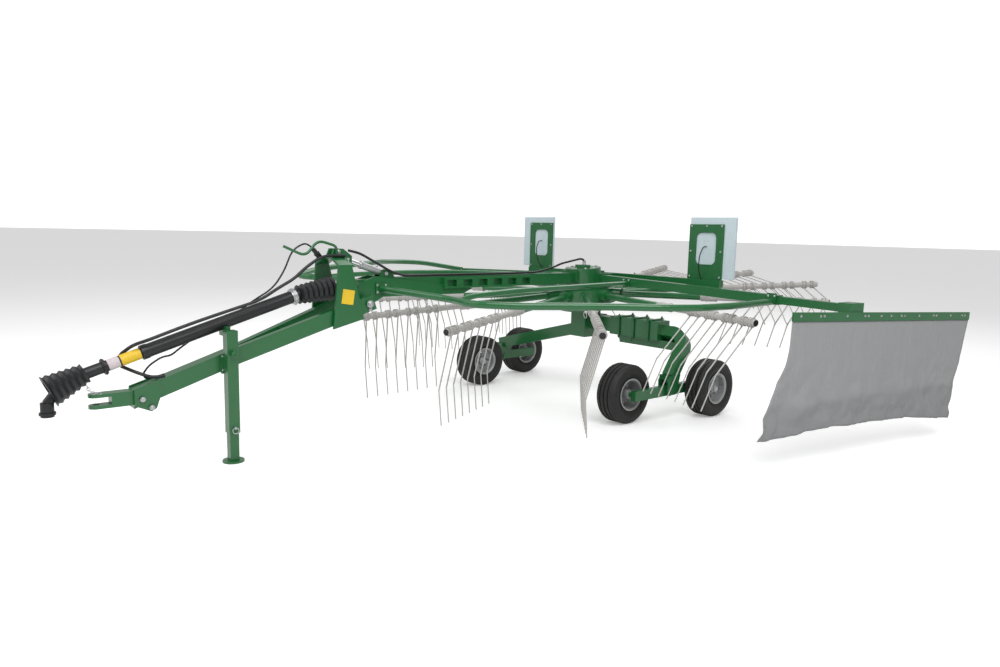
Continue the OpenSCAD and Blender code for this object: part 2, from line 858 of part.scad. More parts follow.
module jack_leg() {
    color(green) translate(base) union() {
        block([jack_x - jack_w / 2 + 5.5, jack_y - jack_w / 2 + 5.5, 6],
            [jack_x + jack_w / 2 - 5.5, jack_y + jack_w / 2 - 5.5, 560]);
        translate([jack_x, jack_y, 0]) cylinder(h = 10, r = 58);
    }
}

module hose_rod() {
    path = [
        [2130, 46, arch_top + 0.1], [2130, 46, arch_top + 60], [2252, 46, 1215], [2328, 46, 1122],
            [2462, 46, 1179]
    ];
    color(green) translate(base) swept(rounded(path, 45, 5), 8, 14, [0, 1, 0]);
}

pto_f = [3506, 0, 541];
pto_r = [2331, 0, 906];
pto_dir = (pto_f - pto_r) / norm(pto_f - pto_r);
pto_step = pto_r + 920 * pto_dir;
bell_dip = 25;
bell_dir = [cos(bell_dip), 0, -sin(bell_dip)];

module pto_tube() {
    color(black) translate(base) union() {
        rod(pto_r, pto_step, pto_d / 2);
        rod(pto_step - 40 * pto_dir, pto_f, pto_d / 2 - 7);
        rod(pto_step - 20 * pto_dir, pto_step + 12 * pto_dir, pto_d / 2 + 3);
    }
}

// Ribbed rubber cone along +Z, r0 to r1 over h with n folds
module bellows(r0, r1, h, n) {
    step = h / n;
    rotate_extrude()
        polygon(concat(
            [[0, 0]],
            [for (i = [0 : n - 1], t = [0, 1])
                [r0 + (r1 - r0) * (i + t / 2) / n - (t == 1 ? 9 : 0), (i + 0.15 + t / 2) * step]],
            [[r1, h], [0, h]]
        ));
}

module pto_bellows() {
    color(black) translate(base) {
        difference() {
            translate(pto_f - 30 * bell_dir) rotate([0, 90 + bell_dip, 0]) bellows(52, 84, 180, 6);
            translate(pto_f + 90 * bell_dir) rotate([0, 90 + bell_dip, 0]) cylinder(h = 100, r = 58);
            rod(pto_f + seat * pto_dir, pto_f - 80 * pto_dir, pto_d / 2 - 7 + seat);
        }
        difference() {
            translate(pto_r + 30 * pto_dir) rotate([0, -82, 0]) bellows(56, 76, 220, 7);
            translate(pto_r + [-80, 0, 11]) rotate([0, -82, 0]) cylinder(h = 200, r = 48);
            rod(pto_r - seat * pto_dir, pto_r + 80 * pto_dir, pto_d / 2 + seat);
        }
    }
}

module pto_yoke() {
    color(black) translate(base) difference() {
        union() {
            translate([yoke_x, 0, 356]) cylinder(h = 70, r = 30);
            translate([yoke_x, 0, 366]) cylinder(h = 12, r = yoke_collar);
            rod([yoke_x, 0, 420], pto_f + 90.2 * bell_dir, 24);
        }
        translate([yoke_x, 0, 300]) cylinder(h = 118, r = yoke_bore / 2);
        translate(pto_f + 40 * bell_dir) rotate([0, 90 + bell_dip, 0]) cylinder(h = 50, r = 80);
    }
}

hose_r = 9;
cable_r = 5;
draw_top = draw_h / 2 * sqrt(1 + draw_slope * draw_slope);
// Height of the drawbar's top face at x
function deck(x) = draw_join[2] - (x - draw_join[0]) * draw_slope + draw_top;

// Hydraulic hose over the driveline, and the light cable that dives behind it
hose_pts = [
    [2084, 68, 1125], [2200, 68, 1126], [2256, 68, 1112], [2340, 68, 1058], [2412, 68, 995],
        [2503, 68, 948],
    [2614, 66, 881], [2790, 62, 831], [2990, 56, 772], [3200, 48, 700], [3262, 10, 675], [3312, -50, 620],
    [3316, -56, 566], [3246, 10, 530], [3180, 30, deck(3180) + 24], [3120, 32, deck(3120) + hose_r + 0.4]
];
cable_pts = [
    [2240, 28, 1126], [2288, 28, 1180], [2322, 28, 1196], [2363, 28, 1180], [2395, 28, 1156],
        [2416, 30, 1126],
    [2456, 36, 1040], [2507, 36, 966], [2545, 22, 926], [2610, -26, 874], [2700, -64, 800],
        [2900, -66, 700],
    [3020, -40, 630], [3075, 0, 604], [3130, 24, 604], [3190, 20, 566], [3216, 0, 522], [3204, -12, 492],
    [3160, -14, deck(3160) + cable_r + 2], [3110, -14, deck(3110) + cable_r + 0.4]
];
// Hose along the beam to the gear head
rotor_hose_pts = [
    [2056, 54, 1156], [1980, 54, 1140], [1850, 54, 1074], [1756, 54, 1024], [1667, 50, 1000],
        [1598, 34, beam_hi + 8.4],
    [1360, 30, beam_hi + 8.4], [838, 30, beam_hi + 8.4], [480, 30, beam_hi + 10], [304, 28, 1032],
        [226, 26, 1058],
    [90, 22, 1080], [0, 18, 1094], [-40, 16, 1080], [-42, 14, 1045.4]
];
// Cable from a board to its foot
board_cable_pts = [
    [board_x + 2.4, board_y - 45, 1215], [board_x + 40, board_y - 45, 1212],
        [board_x + 74, board_y - 50, 1150],
    [board_x + 66, board_y - 60, 1050], [board_x + 30, board_y - 64, 1000],
        [board_x + 18, board_y - 66, tube_z + 25.4]
];
chain_pts = [[3484, 30, 496], [3474, 33, 466], [3452, 33, 452], [3424, 30, hitch_hi + 4.4]];

module drawbar_hoses() {
    color(black) translate(base) {
        swept(rounded(hose_pts, 300, 3), hose_r, 10, [0, 1, 0]);
        swept(rounded(cable_pts, 300, 2), cable_r, 8, [0, 1, 0]);
    }
}

module frame_cables() {
    color(black) translate(base) {
        swept(rounded(rotor_hose_pts, 300, 3), 8, 10, [0, 1, 0]);
        swept(rounded(board_cable_pts, 200, 3), 4, 8, [0, 1, 0]);
        mirror([0, 1, 0]) swept(rounded(board_cable_pts, 200, 3), 4, 8, [0, 1, 0]);
    }
}

module drive_chain() {
    color(steel) translate(base) swept(rounded(chain_pts, 60, 3), 4, 8, [0, 1, 0]);
}

main_beam();
storage_rack();
gear_head();
column();
axle_left();
axle_right();
cross_arms();
guard_left();
guard_right();
rear_cross_tube();
board_frames();
board_panels();
input_shaft();
rotor_drum();
arm_shafts();
tines_lowered();
tines_turning();
tines_raised();
drawbar_rails();
portal_arch();
hitch_clevis();
jack_sleeve();
jack_leg();
hose_rod();
pto_tube();
pto_bellows();
pto_yoke();
lift_barrel();
lift_rod();
curtain_arm();
curtain_rail();
curtain_cloth();
bogie_left();
bogie_right();
tyre_fl();
tyre_fr();
tyre_rl();
tyre_rr();
rim_fl();
rim_fr();
rim_rl();
rim_rr();
drawbar_hoses();
frame_cables();
drive_chain();
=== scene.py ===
"""Looks of a single rotor trailed hay rake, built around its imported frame."""

import json
import math

import bpy
from mathutils import Matrix, Vector


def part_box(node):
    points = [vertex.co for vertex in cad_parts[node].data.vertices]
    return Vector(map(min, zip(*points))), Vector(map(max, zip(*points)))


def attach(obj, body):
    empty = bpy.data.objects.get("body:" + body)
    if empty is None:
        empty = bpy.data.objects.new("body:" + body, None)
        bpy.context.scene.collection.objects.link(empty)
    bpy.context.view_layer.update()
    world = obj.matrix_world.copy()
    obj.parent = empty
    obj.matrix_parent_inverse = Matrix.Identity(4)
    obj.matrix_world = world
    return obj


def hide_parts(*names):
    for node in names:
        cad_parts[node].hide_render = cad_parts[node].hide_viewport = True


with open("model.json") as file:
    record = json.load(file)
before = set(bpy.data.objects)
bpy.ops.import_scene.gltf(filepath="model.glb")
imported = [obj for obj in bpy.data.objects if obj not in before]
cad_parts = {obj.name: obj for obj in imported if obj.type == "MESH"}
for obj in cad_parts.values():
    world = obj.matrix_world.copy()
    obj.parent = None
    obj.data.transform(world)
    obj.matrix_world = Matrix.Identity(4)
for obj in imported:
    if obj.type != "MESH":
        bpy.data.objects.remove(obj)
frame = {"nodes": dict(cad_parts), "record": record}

bl_info = {
    "name": "Hay rake looks",
    "version": (1, 0, 0),
    "blender": (4, 5, 0),
    "location": "View3D > Sidebar > Hay rake",
    "description": "Finishes, cords, cloth and small fittings of a trailed hay rake",
    "category": "Object",
}

# Machine frame in millimetres: x forward, y left, z up from the ground midway between the bogies
ORIGIN = (871.686, 287.594)
WHEEL_R = 205.0
BOGIE_Y = 900.0
AXLE_X = 341.5
STAGGER = 112.0
ROTOR = (-60.0, 0.0, 830.0)
TILT = 4.7
ARMS = 12
PHASE = 16.7
# Roll of the tine arms, and the angles between which the cam rolls them up and back down
ROLL_MAX = 62.0
ROLL_UP = (48.0, 107.5)
ROLL_DOWN = (205.0, 250.0)
ARM_REACH = 1809.0
RAIL_FRONT = (470.0, 2045.0, 868.0)
RAIL_LEN = 1793.0
RAIL_DROP = 2.0
RAIL_TOE = 9.3
RAIL_UNDER = 25.0
CLOTH_DEEP = 620.0
PTO_REAR = (2331.0, 0.0, 906.0)
PTO_FRONT = (3506.0, 0.0, 541.0)
LIFT_REAR = (1780.0, 0.0, 1012.0)
LIFT_WAY = (270.0, 0.0, 90.0)
JACK_X = 2795.0

# Camera fitted to the photograph
CAMERA_SPOT = (4285.6, 4068.8, 1290.8)
CAMERA_AHEAD = (-0.6447, -0.7524, -0.1355)
CAMERA_RIGHT = (-0.7612, 0.6481, 0.0230)
CAMERA_LENS = 26.91

# Colours that the panel doesn't offer
DUST = (0.26, 0.23, 0.18)
CHROME = (0.78, 0.79, 0.80)
WHITE_BAND = (0.62, 0.55, 0.57)
STRIPE_RED = (0.55, 0.015, 0.012)
DOUBLED_CLOTH = (0.20, 0.203, 0.207)
# Painted shade: near-black mixed into the colour inside the tyre tread's grooves
GROOVE_PAINTED_SHADE = (0.004, 0.004, 0.004)
FLOOR_TONES = ((0.90, 0.90, 0.90), (0.94, 0.94, 0.94))

# Light that the camera alone sees on the floor and in the sky, and the sky's own light
FLOOR_GLOW = 0.27
SKY_GLOW = 0.75
SKY_LIGHT = 0.45

FORWARD = (1, 0, 0)
LEFT = (0, 1, 0)

# Routes of the cords, from where each leaves the machine
HOSE = (
    (2084, 68, 1125), (2200, 68, 1126), (2256, 68, 1112), (2340, 68, 1058), (2412, 68, 995),
    (2503, 68, 948), (2614, 66, 881), (2790, 62, 831), (2990, 56, 772), (3200, 48, 700),
    (3262, 10, 675), (3312, -50, 620), (3316, -56, 566), (3246, 10, 530), (3180, 30, 501.5),
    (3120, 32, 506.8),
)
LIGHT_CABLE = (
    (3110, -14, 506.1), (3160, -14, 491.2), (3204, -12, 492), (3216, 0, 522), (3190, 20, 566),
    (3130, 24, 604), (3075, 0, 604), (3020, -40, 630), (2900, -66, 700), (2700, -64, 800),
    (2610, -26, 874), (2545, 22, 926), (2507, 36, 966), (2456, 36, 1040), (2416, 30, 1126),
    (2395, 28, 1156), (2363, 28, 1180), (2322, 28, 1196), (2288, 28, 1180), (2240, 28, 1126),
)
ROTOR_HOSE = (
    (2056, 54, 1156), (1980, 54, 1140), (1850, 54, 1074), (1756, 54, 1024), (1667, 50, 1000),
    (1598, 34, 994.4), (1360, 30, 994.4), (838, 30, 994.4), (480, 30, 996), (304, 28, 1032),
    (226, 26, 1058), (90, 22, 1080), (0, 18, 1094), (-40, 16, 1080), (-42, 14, 1045.4),
)
BOARD_CABLE = (
    (-417.6, 869, 1215), (-380, 869, 1212), (-346, 864, 1150), (-354, 854, 1050), (-390, 850, 1000),
    (-402, 848, 975.4),
)
# Line of the safety chain
CHAIN = ((3484, 30, 496), (3474, 33, 466), (3452, 33, 452), (3424, 30, 448.4))


# Places on the machine, in the row frame and metres

def mm(x, y, z):
    return Vector((x, y, z)) / 1000


def at(x, y, z):
    """A point of the machine."""
    return mm(x - ORIGIN[0], y - ORIGIN[1], z)


def aim(p, axis):
    """A place at p with its Z along the axis."""
    return Matrix.Translation(p) @ Vector(axis).to_track_quat("Z", "Y").to_matrix().to_4x4()


def turned(angle, axis):
    return Matrix.Rotation(math.radians(angle), 4, axis)


def circle(count, first, r):
    """Points evenly round a circle, the first at that angle."""
    turns = [math.radians(first + 360 / count * i) for i in range(count)]
    return [(r * math.cos(a), r * math.sin(a)) for a in turns]


def ramp(a, lo, hi):
    return min(1.0, max(0.0, (a - lo) / (hi - lo)))


def roll_of(a):
    """Roll of a tine arm at the angle where it stands, as its cam sets it."""
    return ROLL_MAX * (ramp(a, *ROLL_UP) - ramp(a, *ROLL_DOWN))


def head_place(x, y, z):
    """A place on the tilted rotor head, with its Z along the rotor's axis."""
    return Matrix.Translation(at(*ROTOR)) @ turned(TILT, "Y") @ Matrix.Translation(mm(x, y, z))


def arm_place(k):
    """The frame of tine arm k: x out along it, z up before it is rolled."""
    a = PHASE + 360 / ARMS * k
    return head_place(0, 0, 0) @ turned(a, "Z") @ turned(-roll_of(a), "X")


def rail_place():
    """The frame of the curtain rail: x back along it, y inwards and z up."""
    return Matrix.Translation(at(*RAIL_FRONT)) @ turned(180 - RAIL_TOE, "Z") @ turned(RAIL_DROP, "Y")


def drive_place(t):
    """A place on the driveline, t millimetres from its rear end, with its Z forward along it."""
    way = Vector(PTO_FRONT) - Vector(PTO_REAR)
    return aim(at(*(Vector(PTO_REAR) + way.normalized() * t)), way)


def route(points, bend, steps=6):
    """The points joined by a line with each corner rounded, as on the cord's solid."""
    p = [at(*q) for q in points]
    made = [p[0]]
    for a, b, c in zip(p, p[1:], p[2:]):
        reach = min(bend / 1000, 0.45 * (b - a).length, 0.45 * (c - b).length)
        start, end = b + (a - b).normalized() * reach, b + (c - b).normalized() * reach
        for i in range(steps + 1):
            u = i / steps
            made.append(start * (1 - u) ** 2 + b * (2 * u * (1 - u)) + end * u**2)
    return made + [p[-1]]


def long_of(line):
    return sum((b - a).length for a, b in zip(line, line[1:]))


def along(line, far):
    """The point of the line at that distance from its start, and the line's way there."""
    for a, b in zip(line, line[1:]):
        step = (b - a).length
        if far <= step:
            return a + (b - a) * (far / step), (b - a).normalized()
        far -= step
    return line[-1], (line[-1] - line[-2]).normalized()


# Modelling steps

def clear():
    bpy.ops.object.select_all(action="DESELECT")


def pick_faces(o, wanted):
    """Edit mode on o with only the wanted faces selected."""
    bpy.ops.object.mode_set(mode="EDIT")
    bpy.ops.mesh.select_mode(type="FACE")
    bpy.ops.mesh.select_all(action="DESELECT")
    bpy.ops.object.mode_set(mode="OBJECT")
    for f in o.data.polygons:
        f.select = wanted(f)
    bpy.ops.object.mode_set(mode="EDIT")


def spun(rows, sides=24, low=0.0, place=None):
    """A turned form on its Z axis: a disc is extruded by each row's step and resized to its radius."""
    clear()
    step, r = rows[0]
    high = (low + step) / 1000
    bpy.ops.mesh.primitive_cylinder_add(
        vertices=sides, radius=r / 1000, depth=step / 1000, location=(0, 0, high - step / 2000)
    )
    o = bpy.context.object
    bpy.ops.object.transform_apply(location=True, rotation=True, scale=True)
    if len(rows) > 1:
        pick_faces(o, lambda f: f.normal.z > 0.9)
        for step, radius in rows[1:]:
            bpy.ops.mesh.extrude_region_move(
                TRANSFORM_OT_translate={"value": (0, 0, step / 1000), "orient_type": "GLOBAL"}
            )
            high += step / 1000
            k = radius / r
            bpy.ops.transform.resize(value=(k, k, 1), orient_type="GLOBAL", center_override=(0, 0, high))
            r = radius
        bpy.ops.object.mode_set(mode="OBJECT")
    if place is not None:
        o.matrix_world = place
    return o


def rod(p, q, r, sides=20):
    """A round bar from p to q with a chamfered far end."""
    long = (q - p).length * 1000
    c = min(1.2, 0.15 * r, 0.2 * long)
    return spun([(long - c, r), (c, r - c)], sides, 0, aim(p, q - p))


def ring(place, big, small, stretch=1.0, sides=28):
    """A wire ring around the place's Z axis, drawn out along its X by the stretch."""
    clear()
    bpy.ops.mesh.primitive_torus_add(
        major_segments=sides, minor_segments=10, major_radius=big / 1000, minor_radius=small / 1000
    )
    o = bpy.context.object
    bpy.ops.object.mode_set(mode="EDIT")
    bpy.ops.mesh.select_all(action="SELECT")
    bpy.ops.transform.resize(value=(stretch, 1, 1), orient_type="GLOBAL", center_override=(0, 0, 0))
    bpy.ops.object.mode_set(mode="OBJECT")
    o.matrix_world = place
    return o


def plate(size, rim, place):
    """A flat plate in the place's XY plane, its upper face sunk inside a narrow rim."""
    clear()
    bpy.ops.mesh.primitive_cube_add(size=1, scale=[s / 1000 for s in size])
    o = bpy.context.object
    bpy.ops.object.transform_apply(location=True, rotation=True, scale=True)
    pick_faces(o, lambda f: f.normal.z > 0.9)
    bpy.ops.mesh.inset(thickness=rim / 1000, depth=-0.0006)
    bpy.ops.object.mode_set(mode="OBJECT")
    o.matrix_world = place
    return o


def joined(parts):
    """The parts as one object, with their places in its mesh."""
    clear()
    for o in parts:
        o.select_set(True)
    bpy.context.view_layer.objects.active = parts[0]
    if len(parts) > 1:
        bpy.ops.object.join()
    bpy.ops.object.transform_apply(location=True, rotation=True, scale=True)
    return bpy.context.object


def copies(model, places):
    """The modelled part at each place, every copy with its own mesh."""
    made = []
    for m in places:
        o = model.copy()
        o.data = model.data.copy()
        bpy.context.collection.objects.link(o)
        o.matrix_world = m
        made.append(o)
    bpy.data.objects.remove(model)
    return made


def bolts(size, places):
    """Bolts with a washer, a chamfered hexagon head and the end of the thread."""
    model = joined([
        spun([(0.28 * size, 1.15 * size)], 20, -0.1 * size),
        spun([(0.5 * size, size), (0.1 * size, 0.84 * size)], 6, 0.15 * size),
        spun([(0.2 * size, 0.52 * size), (0.06 * size, 0.42 * size)], 14, 0.7 * size),
    ])
    return copies(model, places)


def piece(name, parts, material, body, edge=0.6):
    """Joins the parts, rounds their edges and sets the piece on its body."""
    o = joined(parts)
    o.name = name
    o.data.name = name
    if edge:
        m = o.modifiers.new("Edge", "BEVEL")
        m.width = edge / 1000
        m.segments = 2
        m.limit_method = "ANGLE"
        m.angle_limit = math.radians(40)
        bpy.ops.object.modifier_apply(modifier="Edge")
    bpy.ops.object.shade_smooth_by_angle(angle=math.radians(35))
    o.data.materials.clear()
    o.data.materials.append(material)
    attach(o, body)
    return o


def cord(name, line, r, body, node, **facts):
    """A cord along the line, in place of its solid."""
    curve = bpy.data.curves.new(name, "CURVE")
    curve.dimensions = "3D"
    curve.bevel_depth = r / 1000
    curve.bevel_resolution = 4
    curve.use_fill_caps = True
    spline = curve.splines.new("POLY")
    spline.points.add(len(line) - 1)
    for point, p in zip(spline.points, line):
        point.co = (*p, 1)
    spline.use_smooth = True
    o = bpy.data.objects.new(name, curve)
    bpy.context.collection.objects.link(o)
    curve.materials.append(black())
    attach(o, body)
    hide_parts(node)
    return o


# Materials

def sockets(tree, side, rows):
    for name, kind in rows:
        tree.interface.new_socket(name=name, in_out=side, socket_type=kind)


def put(tree, kind, **values):
    n = tree.nodes.new(kind)
    for k, v in values.items():
        setattr(n, k, v)
    return n


def maths(tree, op, *values):
    n = put(tree, "ShaderNodeMath", operation=op)
    for socket, v in zip(n.inputs, values):
        if isinstance(v, (int, float)):
            socket.default_value = v
        else:
            tree.links.new(v, socket)
    return n.outputs[0]


def mixed(tree, factor, a, b, blend="MIX"):
    n = put(tree, "ShaderNodeMix", data_type="RGBA", blend_type=blend)
    for i, v in ((0, factor), (6, a), (7, b)):
        if isinstance(v, (int, float)):
            n.inputs[i].default_value = v
        elif isinstance(v, tuple):
            n.inputs[i].default_value = (*v, 1)
        else:
            tree.links.new(v, n.inputs[i])
    return n.outputs[2]


def noise(tree, where, scale, detail=4):
    n = put(tree, "ShaderNodeTexNoise")
    n.inputs["Detail"].default_value = detail
    n.inputs["Scale"].default_value = scale
    tree.links.new(where, n.inputs["Vector"])
    return n.outputs[0]


def wear_group():
    """Cloudy dust that gathers low down, fine speckle and a slight grain, on any finish."""
    g = bpy.data.node_groups.get("Wear")
    if g:
        return g
    g = bpy.data.node_groups.new("Wear", "ShaderNodeTree")
    sockets(g, "INPUT", (
        ("Color", "NodeSocketColor"), ("Dust", "NodeSocketColor"), ("Amount", "NodeSocketFloat"),
        ("Roughness", "NodeSocketFloat"), ("Grain", "NodeSocketFloat"),
    ))
    sockets(g, "OUTPUT", (
        ("Color", "NodeSocketColor"), ("Roughness", "NodeSocketFloat"), ("Normal", "NodeSocketVector"),
    ))
    i, o = put(g, "NodeGroupInput"), put(g, "NodeGroupOutput")
    where = put(g, "ShaderNodeTexCoord").outputs["Object"]
    low = put(g, "ShaderNodeSeparateXYZ")
    g.links.new(where, low.inputs[0])
    patch = maths(g, "POWER", noise(g, where, 7.0, 6), 2.0)
    near = maths(g, "MAXIMUM", maths(g, "MULTIPLY_ADD", low.outputs[2], -0.9, 1.25), 0.35)
    mask = maths(g, "MULTIPLY", maths(g, "MULTIPLY", patch, near), i.outputs["Amount"])
    tint = maths(g, "MULTIPLY_ADD", noise(g, where, 160.0, 2), 0.24, 0.88)
    dusty = mixed(g, mask, i.outputs["Color"], i.outputs["Dust"])
    bump = put(g, "ShaderNodeBump")
    bump.inputs["Distance"].default_value = 0.002
    g.links.new(i.outputs["Grain"], bump.inputs["Strength"])
    g.links.new(noise(g, where, 300.0, 2), bump.inputs["Height"])
    g.links.new(mixed(g, 1.0, dusty, tint, "MULTIPLY"), o.inputs["Color"])
    g.links.new(maths(g, "MULTIPLY_ADD", mask, 0.5, i.outputs["Roughness"]), o.inputs["Roughness"])
    g.links.new(bump.outputs[0], o.inputs["Normal"])
    return g


def tread_group():
    """Rings on a tyre's side and slanting grooves round its tread, about the axle."""
    g = bpy.data.node_groups.get("Tread")
    if g:
        return g
    g = bpy.data.node_groups.new("Tread", "ShaderNodeTree")
    sockets(g, "INPUT", (("Centre", "NodeSocketVector"), ("Normal", "NodeSocketVector")))
    sockets(g, "OUTPUT", (("Groove", "NodeSocketFloat"), ("Normal", "NodeSocketVector")))
    i, o = put(g, "NodeGroupInput"), put(g, "NodeGroupOutput")
    move = put(g, "ShaderNodeVectorMath", operation="SUBTRACT")
    g.links.new(put(g, "ShaderNodeTexCoord").outputs["Object"], move.inputs[0])
    g.links.new(i.outputs["Centre"], move.inputs[1])
    xyz = put(g, "ShaderNodeSeparateXYZ")
    g.links.new(move.outputs[0], xyz.inputs[0])
    x, y, z = xyz.outputs
    far = maths(g, "SQRT", maths(g, "ADD", maths(g, "MULTIPLY", x, x), maths(g, "MULTIPLY", z, z)))
    side = maths(g, "GREATER_THAN", 0.188, far)
    rings = maths(g, "MULTIPLY", maths(g, "SINE", maths(g, "MULTIPLY", far, 620.0)), side)
    turn = maths(g, "MULTIPLY", maths(g, "ARCTAN2", z, x), 72.0)
    slant = maths(g, "SINE", maths(g, "MULTIPLY_ADD", y, 140.0, turn))
    groove = maths(g, "MULTIPLY", maths(g, "GREATER_THAN", slant, 0.75), maths(g, "SUBTRACT", 1.0, side))
    bump = put(g, "ShaderNodeBump")
    bump.inputs["Strength"].default_value = 0.4
    bump.inputs["Distance"].default_value = 0.003
    g.links.new(maths(g, "SUBTRACT", maths(g, "MULTIPLY", rings, 0.3), groove), bump.inputs["Height"])
    g.links.new(i.outputs["Normal"], bump.inputs["Normal"])
    g.links.new(groove, o.inputs["Groove"])
    g.links.new(bump.outputs[0], o.inputs["Normal"])
    return g


def surface(name, colour, rough, grain=0.08, dust=0.25, metal=0.0, coat=0.0):
    """A finish of its own colour with uneven dust, gloss and grain."""
    m = bpy.data.materials.get(name)
    if m:
        return m
    m = bpy.data.materials.new(name)
    m.use_nodes = True
    t = m.node_tree
    shader = t.nodes["Principled BSDF"]
    w = put(t, "ShaderNodeGroup", name="Wear")
    w.node_tree = wear_group()
    w.inputs["Color"].default_value = (*colour, 1)
    w.inputs["Dust"].default_value = (*DUST, 1)
    w.inputs["Amount"].default_value = dust
    w.inputs["Roughness"].default_value = rough
    w.inputs["Grain"].default_value = grain
    shader.inputs["Metallic"].default_value = metal
    shader.inputs["Coat Weight"].default_value = coat
    shader.inputs["Coat Roughness"].default_value = 0.15
    t.links.new(w.outputs["Color"], shader.inputs["Base Color"])
    t.links.new(w.outputs["Roughness"], shader.inputs["Roughness"])
    t.links.new(w.outputs["Normal"], shader.inputs["Normal"])
    return m


def green():
    return surface("Green paint", bpy.context.scene.rake_colours.green, 0.3, 0.05, 0.06, coat=0.4)


def zinc():
    return surface("Zinc", bpy.context.scene.rake_colours.zinc, 0.35, 0.1, 0.2, metal=0.85)


def black():
    return surface("Black plastic", bpy.context.scene.rake_colours.black, 0.42, 0.12, 0.05)


def yellow():
    return surface("Yellow plate", bpy.context.scene.rake_colours.yellow, 0.45, 0.05, 0.15)


def tyre_material(name, centre):
    m = surface("Tyre " + name, bpy.context.scene.rake_colours.rubber, 0.6, 0.2, 0.1)
    t = m.node_tree
    w, shader = t.nodes["Wear"], t.nodes["Principled BSDF"]
    r = put(t, "ShaderNodeGroup")
    r.node_tree = tread_group()
    r.inputs["Centre"].default_value = centre
    t.links.new(w.outputs["Normal"], r.inputs["Normal"])
    t.links.new(r.outputs["Normal"], shader.inputs["Normal"])
    # Painted shade: the tread's grooves are darkened in colour, as shade in their recesses
    deep = maths(t, "MULTIPLY", r.outputs["Groove"], 0.6)
    t.links.new(mixed(t, deep, w.outputs["Color"], GROOVE_PAINTED_SHADE), shader.inputs["Base Color"])
    return m


def board_material():
    """White sheet, with slanting red bars on the side that faces backwards."""
    m = surface("Board sheet", bpy.context.scene.rake_colours.board, 0.35, 0.04, 0.12)
    t = m.node_tree
    w, shader = t.nodes["Wear"], t.nodes["Principled BSDF"]
    c = put(t, "ShaderNodeTexCoord")
    p, n = put(t, "ShaderNodeSeparateXYZ"), put(t, "ShaderNodeSeparateXYZ")
    t.links.new(c.outputs["Object"], p.inputs[0])
    t.links.new(c.outputs["Normal"], n.inputs[0])
    across = maths(t, "ABSOLUTE", maths(t, "ADD", p.outputs[1], ORIGIN[1] / 1000))
    slant = maths(t, "SINE", maths(t, "MULTIPLY", maths(t, "ADD", across, p.outputs[2]), 31.4))
    bars = maths(t, "GREATER_THAN", slant, 0.0)
    mask = maths(t, "MULTIPLY", bars, maths(t, "GREATER_THAN", -0.5, n.outputs[0]))
    t.links.new(mixed(t, mask, w.outputs["Color"], STRIPE_RED), shader.inputs["Base Color"])
    return m


def cloth_material():
    """Coated grey cloth, darker where its lower part is doubled, with soft creases."""
    m = surface("Curtain cloth", bpy.context.scene.rake_colours.cloth, 0.75, 0.35, 0.08)
    t = m.node_tree
    w, shader = t.nodes["Wear"], t.nodes["Principled BSDF"]
    c = put(t, "ShaderNodeTexCoord").outputs["Object"]
    xyz = put(t, "ShaderNodeSeparateXYZ")
    t.links.new(c, xyz.inputs[0])
    low = put(t, "ShaderNodeMapRange", interpolation_type="SMOOTHSTEP")
    t.links.new(maths(t, "MULTIPLY_ADD", noise(t, c, 3.0, 2), 0.05, xyz.outputs[2]), low.inputs[0])
    for i, v in enumerate((0.36, 0.42, 0.45, 0.0), 1):
        low.inputs[i].default_value = v
    stretch = put(t, "ShaderNodeMapping")
    stretch.inputs["Scale"].default_value = (9, 9, 1.2)
    t.links.new(c, stretch.inputs[0])
    bump = put(t, "ShaderNodeBump")
    bump.inputs["Strength"].default_value = 0.5
    bump.inputs["Distance"].default_value = 0.02
    t.links.new(noise(t, stretch.outputs[0], 1.0, 3), bump.inputs["Height"])
    t.links.new(w.outputs["Normal"], bump.inputs["Normal"])
    t.links.new(bump.outputs[0], shader.inputs["Normal"])
    tone = mixed(t, low.outputs[0], w.outputs["Color"], DOUBLED_CLOTH)
    t.links.new(tone, shader.inputs["Base Color"])
    return m


class RakeColours(bpy.types.PropertyGroup):
    """Colours of the finishes."""

    def colour(name, description, value):
        return bpy.props.FloatVectorProperty(
            name=name, description=description, subtype="COLOR", size=3, min=0, max=1, default=value
        )

    green: colour("Green paint", "Paint of the frame, drawbar and rotor arms", (0.006, 0.118, 0.028))
    pale: colour("Tine paint", "Pale paint of the tines and their carriers", (0.42, 0.41, 0.395))
    black: colour("Black plastic", "Driveline guards, hoses and plugs", (0.008, 0.009, 0.011))
    rubber: colour("Rubber", "Tyres", (0.008, 0.008, 0.009))
    rim: colour("Rim paint", "Wheel rims", (0.36, 0.37, 0.38))
    zinc: colour("Zinc", "Bolts, pins and plated fittings", (0.52, 0.53, 0.54))
    board: colour("Board sheet", "Sheets of the warning boards", (0.56, 0.66, 0.70))
    cloth: colour("Curtain cloth", "Upper part of the curtain", (0.30, 0.305, 0.31))
    yellow: colour("Yellow plate", "Blank plate and driveline band", (0.78, 0.52, 0.02))


class RakeSizes(bpy.types.PropertyGroup):
    """Sizes of the fittings."""

    def length(name, description, value):
        return bpy.props.FloatProperty(
            name=name, description=description, subtype="DISTANCE", unit="LENGTH",
            default=value / 1000, min=0.0005, max=3,
        )

    pin_ring: length("Linch pin ring", "Radius of the spring ring on a linch pin", 22)
    bolt: length("Frame bolt", "Radius of a large frame bolt's head", 10)
    small_bolt: length("Small bolt", "Radius of a small bolt's head", 6.5)
    wheel_nut: length("Wheel nut", "Radius of a wheel nut", 9)
    band: length("Driveline band", "Length of the yellow band on the driveline", 98)
    plate: length("Blank plate", "Width of the plate on the arch", 78)
    cloth_fold: length("Cloth folds", "Depth of the folds at the curtain's hem", 36)


